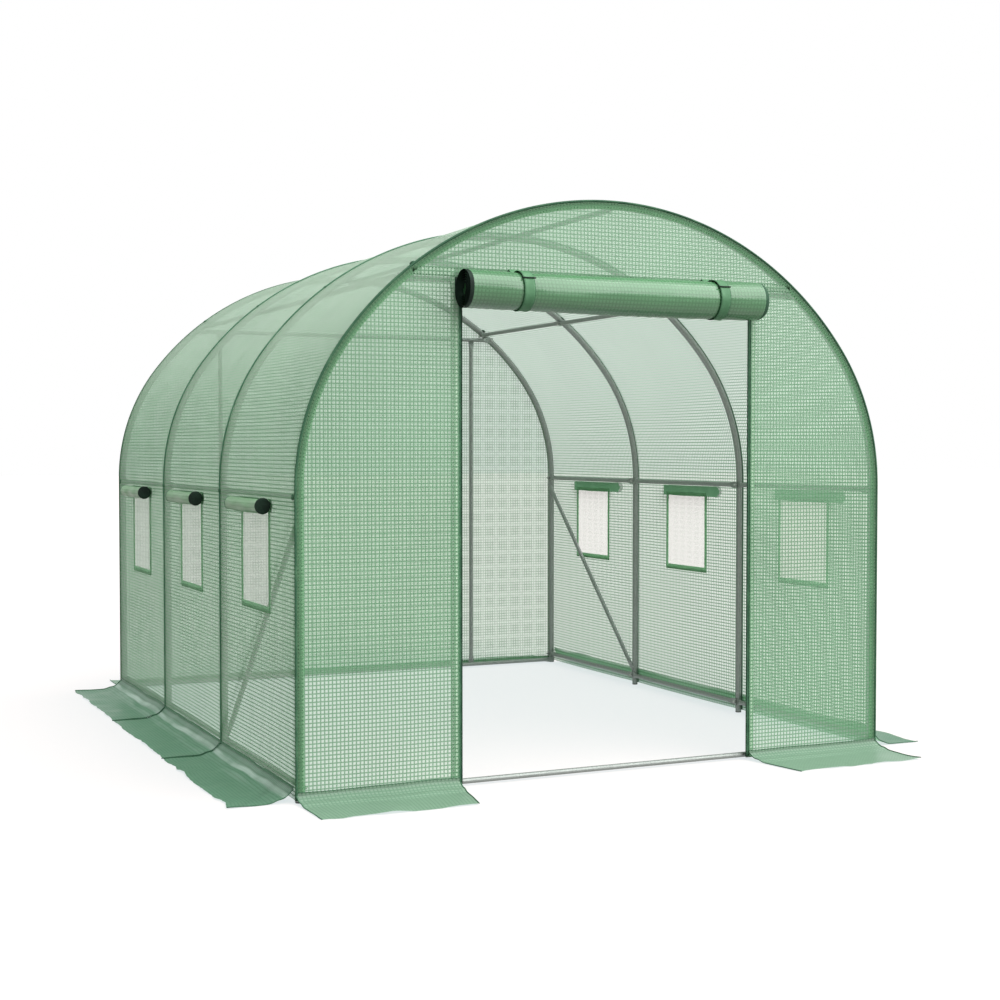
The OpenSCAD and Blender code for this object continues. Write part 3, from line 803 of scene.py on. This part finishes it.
def window(side, number, y):
    """Screen, bound edge and rolled-up flap of one window."""
    sign = SIDES[side]
    top, foot = window_girths()
    name = f"{side}_window_{number}"
    edge, sill = EDGE_W / 2, SILL_W / 2
    near = 1e-6
    s = ticks([top - edge, top + edge, foot - sill, foot + sill], 0.02)
    ends = [y - WINDOW_W / 2, y + WINDOW_W / 2]
    columns = ticks([end + off for end in ends for off in (-edge, edge)], 0.02)
    if sign < 0:
        s = -s[::-1]
    rows, wide = np.meshgrid(s, columns, indexing="ij")
    at_s = np.abs(s[:-1] + s[1:])[:, None] / 2
    at_y = np.abs((columns[:-1] + columns[1:]) / 2 - y)[None]
    hole = (at_s > top + edge) & (at_s < foot - sill) & (at_y < WINDOW_W / 2 - edge)
    uv = np.stack([rows, wide], -1)
    binding = piece(name + "_binding", grid(cover_points(rows, wide), uv, ~hole), BINDING,
                    ["window_bindings"])
    thicken(binding, BINDING_T)
    threads = []
    corners = [(top, ends[0]), (top, ends[1]), (foot, ends[1]), (foot, ends[0]), (top, ends[0])]
    for (s0, y0), (s1, y1) in zip(corners, corners[1:]):
        share = np.linspace(0, 1, 40)
        path = cover_points(sign * (s0 + (s1 - s0) * share), y0 + (y1 - y0) * share, 0.0024)
        across = (0, 1, 0) if y0 == y1 else (0, 0, 1)
        threads.append(stitches(path, across, pitch=0.009, length=0.005))
    sewing = piece(name + "_stitches", joined(threads), STITCH)
    picked_s = s[(np.abs(s) > top - near) & (np.abs(s) < foot + near)]
    picked_y = columns[(columns > ends[0] - near) & (columns < ends[1] + near)]
    rows, wide = np.meshgrid(picked_s, picked_y, indexing="ij")
    net = grid(cover_points(rows, wide), np.stack([rows, wide], -1))
    screen = piece(name + "_screen", net, SCREEN, ["window_screens"])
    rolled(name + "_flap", (sign * FLAP_X, y, FLAP_Z), along=(0, 1, 0), back=(-sign, 0, 0),
           half=FLAP_L / 2, radius=FLAP_R, core=0.007, turns=4, lead=FLAP_LEAD, shape=flap_shape,
           materials=(FLAP_FILM, WELT), node="window_rolls")


def flap_shades():
    """Painted shade of the rolled window flaps: near-black discs on their front ends, where the
    open roll is in shade, and opaque strips inside the film standing in for the flaps' shadow on
    it, which reach past the flap on the right side."""
    disc = lathe([(0, 0.0035), (FLAP_R * 0.80, 0.0030), (FLAP_R * 1.00, 0.0016),
                  (FLAP_R * 1.05, -0.001), (FLAP_R * 1.02, -0.004), (0, -0.004)], 28)
    end_shades, shade_bands = [], []
    for sign in SIDES.values():
        for y in BAY_Y:
            # Painted shade: a near-black disc on the flap's front end, where the roll is in shade.
            end_shades.append(placed(disc, (sign * FLAP_X, y - FLAP_L / 2, FLAP_Z), (0, -1, 0)))
            # Painted shade: an opaque strip inside the film along the flap, reaching further on the
            # right side.
            start = -FLAP_L / 2 - (SHADE_BAND_OVER if sign > 0 else 0)
            along, up = np.meshgrid(np.linspace(start, FLAP_L / 2, 24), np.linspace(-1, 1, 5))
            from_end = np.clip((along - start) / SHADE_BAND_H, 0, 1)
            up = up * SHADE_BAND_H * np.sqrt(from_end * (2 - from_end))
            points = cover_points(sign * girth_at(FLAP_Z + up), y + along, -0.0016)
            flat = np.stack([along, up], -1)
            shade_bands.append(grid(points, flat) if sign > 0 else grid(points[::-1], flat[::-1]))
    piece("flap_shades", joined(end_shades), DARK_TAPE_AND_SHADE)
    piece("flap_shade_bands", joined(shade_bands), FLAP_SHADE_BAND)


# Doorway

def door_edges():
    """Sleeves round the door posts, with a dark coil zip along their door side. The sleeves' pale
    colour is painted light: it keeps the film in front of them as bright as where light comes
    through beside them.
    """
    sleeves, tapes, teeth, threads = [], [], [], []
    z = ticks([0.012, 0.06, SEAM_Z - 0.004], 0.02)
    turn = np.linspace(0, 2 * math.pi, 21)
    for sign in SIDES.values():
        rows, angle = np.meshgrid(z, turn * sign, indexing="ij")
        radius = SLEEVE_R + 0.0009 * smooth_noise(rows * 9, np.cos(angle), np.sin(angle) + sign)
        points = np.stack([sign * POST_X + radius * np.cos(angle),
                           POST_Y - SLEEVE_AHEAD + radius * np.sin(angle), rows], -1)
        sleeves.append(grid(points, np.stack([angle * SLEEVE_R, rows], -1)))
        x = sign * (POST_X - ZIP_OFF)
        across = np.array([-0.0075, -0.003, 0.003, 0.0075])
        columns, rows = np.meshgrid(across, z)
        face = FRONT_Y + 0.004 + 0 * rows
        points = np.stack([x + columns, face, rows], -1)
        tapes.append(grid(points[:, ::-1], np.stack([columns, rows], -1)))
        chain = np.stack([np.full_like(z, x - sign * TEETH_OFF), FRONT_Y + 0.0030 + 0 * z, z], -1)
        teeth.append(stitches(chain, (1, 0, 0), pitch=0.0034, length=0.0030, width=0.0064,
                              height=0.0018))
        edge_x = np.full_like(z, sign * (DOOR_X + EDGE_ROW))
        seam = np.stack([edge_x, FRONT_Y - 0.0016 + 0 * z, z], -1)
        threads.append(stitches(seam, (1, 0, 0)))
    return [piece("door_edge_sleeves", joined(sleeves), SLEEVE_FILM, ["door_edge_hems"]),
            thicken(piece("door_zip_tapes", joined(tapes), PIPING), 0.0014),
            piece("door_zip_teeth", joined(teeth), DARK_TAPE_AND_SHADE),
            piece("door_edge_stitches", joined(threads), STITCH)]


def end_strips():
    """Header seam across the front: a flat sewn strip and its two rows of stitches."""
    seam_x = abs(float(skin(crown_girth_at(SEAM_Z))[0])) - HEM_W
    x = ticks([-seam_x, seam_x], END_STEP)
    z = np.linspace(SEAM_Z - SEAM_HALF, SEAM_Z + SEAM_HALF, len(STRIP_RISE))
    rows, columns = np.meshgrid(x, z, indexing="ij")
    raised = LAP * STRIP_RISE[None] + 0 * rows
    points = np.stack([rows, FRONT_Y - raised, columns], -1)
    shape = grid(points, np.stack([rows, columns], -1))
    threads = []
    for z in (SEAM_Z - SEAM_ROW, SEAM_Z + SEAM_ROW):
        row = [(x, FRONT_Y - LAP - THREAD_LIFT, z) for x in (-seam_x, seam_x)]
        threads.append(stitches(row, (0, 0, 1)))
    return [piece("end_strips", shape, FILM),
            piece("end_strip_stitches", joined(threads), PIPING)]


# Fasteners

def bolt_shapes():
    """Domed head, washer, nut and thread end of one bolt, as shapes along Z."""
    head = lathe([(0, 0.0070), (0.0045, 0.0065), (0.0085, 0.0045), (0.0100, 0.0012), (0.0100, 0),
                  (0, 0)], 16)
    washer = lathe([(0, WASHER_T), (0.0066, WASHER_T), (0.0072, 0.0008), (0.0072, 0), (0, 0)], 18)
    nut = lathe([(0, 0.0060), (0.0034, 0.0060), (0.0040, 0.0052), (0.0056, 0.0050),
                 (0.0060, 0.0044), (0.0060, 0.0006), (0.0054, 0), (0, 0)], 6)
    stud = lathe([(0, 0.0105), (0.0022, 0.0105), (0.0029, 0.0098), (0.0029, 0), (0, 0)], 12)
    return head, washer, nut, stud


def bolts():
    """Nuts on the inside of every joint along the hoops and at the headers, and the bumps that the
    bolts' heads make in the film along the purlins."""
    head, washer, nut, stud = bolt_shapes()
    shapes, places, bumps = [], [], []
    purlins = [0, UPPER_S, -UPPER_S, SHOULDER_S, -SHOULDER_S]
    rails = [side * girth_at(RAIL_Z) for side in SIDES.values()]
    for s in purlins + rails:
        x, z, nx, nz = (float(v) for v in skin(s))
        for y in HOOP_Y:
            places.append(((x - TAB_INSET * nx, y, z - TAB_INSET * nz), (-nx, 0, -nz)))
    for node in ("front_header", "rear_header"):
        low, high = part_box(node)
        inward = -math.copysign(1, low.y)
        face = middle(node).y + inward * HEADER_FACE
        for x in (low.x + HEADER_INSET, high.x - HEADER_INSET):
            places.append(((x, face, HEADER_Z), (0, inward, 0)))
    for at, along in places:
        at, along = np.array(at), np.array(along)
        shapes.append(placed(washer, at, along))
        shapes.append(placed(nut, at + along * WASHER_T, along))
        shapes.append(placed(stud, at, along))
    piece("bolt_nuts", joined(shapes), BOLT, smooth=False)
    for s in purlins:
        x, z, nx, nz = (float(v) for v in skin(s))
        for y in HOOP_Y:
            shift = BUMP_SHIFT if abs(y) > BAY else 0
            at = (x - BUMP_SINK * nx, y - math.copysign(shift, y), z - BUMP_SINK * nz)
            bumps.append(placed(head, at, (nx, 0, nz)))
    piece("bolt_bumps", joined(bumps), PIPING)


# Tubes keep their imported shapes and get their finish

def finish_tubes():
    for name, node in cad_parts.items():
        if not node.hide_render:
            node.data.materials.clear()
            node.data.materials.append(PLUG if name == "foot_plugs" else TUBE)


# Studio

def light_seen(tree):
    """1 where a ray from the eye, a mirror or a clear body arrives, 0 for light."""
    path = tree.nodes.new("ShaderNodeLightPath")
    total = path.outputs["Is Camera Ray"]
    for name in ("Is Glossy Ray", "Is Transmission Ray"):
        either = tree.nodes.new("ShaderNodeMath")
        either.operation = "MAXIMUM"
        tree.links.new(total, either.inputs[0])
        tree.links.new(path.outputs[name], either.inputs[1])
        total = either.outputs[0]
    return total


def studio():
    """White surroundings to the eye, a dome brighter above and to the right, one wide key lamp."""
    scene = bpy.context.scene
    scene.view_settings.view_transform = "Standard"
    world = bpy.data.worlds.new("studio")
    world.use_nodes = True
    scene.world = world
    tree = world.node_tree
    where = tree.nodes.new("ShaderNodeTexCoord")
    height = tree.nodes.new("ShaderNodeSeparateXYZ")
    tree.links.new(where.outputs["Generated"], height.inputs[0])
    dome = tree.nodes.new("ShaderNodeMapRange")
    dome.inputs["To Min"].default_value = DOME_LOW
    dome.inputs["To Max"].default_value = DOME_HIGH
    turned = tree.nodes.new("ShaderNodeMath")
    turned.operation = "MULTIPLY_ADD"
    turned.inputs[1].default_value = DOME_SIDE
    tree.links.new(height.outputs["X"], turned.inputs[0])
    tree.links.new(height.outputs["Z"], turned.inputs[2])
    tree.links.new(turned.outputs[0], dome.inputs["Value"])
    strength = tree.nodes.new("ShaderNodeMix")
    strength.inputs["B"].default_value = 1.0
    tree.links.new(light_seen(tree), strength.inputs["Factor"])
    tree.links.new(dome.outputs["Result"], strength.inputs["A"])
    background = tree.nodes["Background"]
    background.inputs["Color"].default_value = rgb(1, 1, 1)
    tree.links.new(strength.outputs["Result"], background.inputs["Strength"])

    key = bpy.data.lights.new("key", "SUN")
    key.energy = KEY
    key.angle = KEY_SPREAD
    lamp = bpy.data.objects.new("key", key)
    lamp.rotation_mode = "QUATERNION"
    lamp.rotation_quaternion = Vector(KEY_FROM).to_track_quat("Z", "Y")
    scene.collection.objects.link(lamp)

    mesh = bpy.data.meshes.new("floor")
    corners = ((-1, -1), (1, -1), (1, 1), (-1, 1))
    mesh.from_pydata([(x * FLOOR_HALF, y * FLOOR_HALF, 0) for x, y in corners], [], [(0, 1, 2, 3)])
    floor = bpy.data.objects.new("floor", mesh)
    scene.collection.objects.link(floor)
    mesh.materials.append(floor_material())


def floor_material():
    """White to the eye apart from the object's soft shadow; a plain pale floor to the light."""
    material = bpy.data.materials.new("floor")
    material.use_nodes = True
    tree = material.node_tree
    tree.nodes.remove(tree.nodes["Principled BSDF"])
    plain = tree.nodes.new("ShaderNodeBsdfDiffuse")
    plain.inputs["Color"].default_value = rgb(0.20, 0.20, 0.20)
    shaded = tree.nodes.new("ShaderNodeBsdfDiffuse")
    shaded.inputs["Color"].default_value = rgb(0.265, 0.206, 0.189)
    glow = tree.nodes.new("ShaderNodeEmission")
    glow.inputs["Color"].default_value = rgb(0.655, 0.712, 0.732)
    seen = tree.nodes.new("ShaderNodeAddShader")
    tree.links.new(shaded.outputs[0], seen.inputs[0])
    tree.links.new(glow.outputs[0], seen.inputs[1])
    choice = tree.nodes.new("ShaderNodeMixShader")
    tree.links.new(light_seen(tree), choice.inputs[0])
    tree.links.new(plain.outputs[0], choice.inputs[1])
    tree.links.new(seen.outputs[0], choice.inputs[2])
    tree.links.new(choice.outputs[0], tree.nodes["Material Output"].inputs["Surface"])
    return material


def camera():
    """The eye of the photograph, with no shift and no depth of field."""
    data = bpy.data.cameras.new("camera")
    data.sensor_width = SENSOR
    data.lens = FOCAL_PX / FRAME_PX * SENSOR
    eye = bpy.data.objects.new("camera", data)
    eye.location = CAMERA_AT
    eye.rotation_euler = (math.pi / 2 + CAMERA_PITCH, 0, -CAMERA_YAW)
    bpy.context.scene.collection.objects.link(eye)
    bpy.context.scene.camera = eye


# The whole object

camera()
studio()

cover = tunnel_cover()
trim = arch_trim()

SEAM_S = crown_girth_at(SEAM_Z)
TIP_S = 0.004
edges = door_edges()
strips = end_strips()
for side in SIDES:
    panel = end_film(f"front_{side}_film", FRONT_Y, -1, SEAM_S, GROUND_S - FOOT_Z, DOOR_X,
                     f"front_{side}_panel", FILM)
gable = end_film("front_gable_film", FRONT_Y, -1, TIP_S, SEAM_S, 0.0, "front_gable", FILM)
rear = end_film("rear_film", REAR_Y, 1, TIP_S, GROUND_S - FOOT_Z, 0.0, "rear_panel", REAR_FILM)

ground_flaps()
for side in SIDES:
    for number, y in enumerate(BAY_Y, 1):
        window(side, number, y)
flap_shades()
# The rolled door's end colours are painted shade: near black on its open left end, a dark band on
# its rounded right end.
rolled("door_roll_film", (0, ROLL_Y, ROLL_Z), along=(1, 0, 0), back=(0, 1, 0), half=ROLL_HALF,
       radius=ROLL_R, core=0.021, turns=6, lead=SEAM_Z + SEAM_HALF - ROLL_Z, shape=door_shape,
       materials=(ROLLED_FILM, DARK_TAPE_AND_SHADE, ROLL_END_SHADE), node="door_roll", tapes=(0.014, 0.046))
door_ties()
bolts()
finish_tubes()
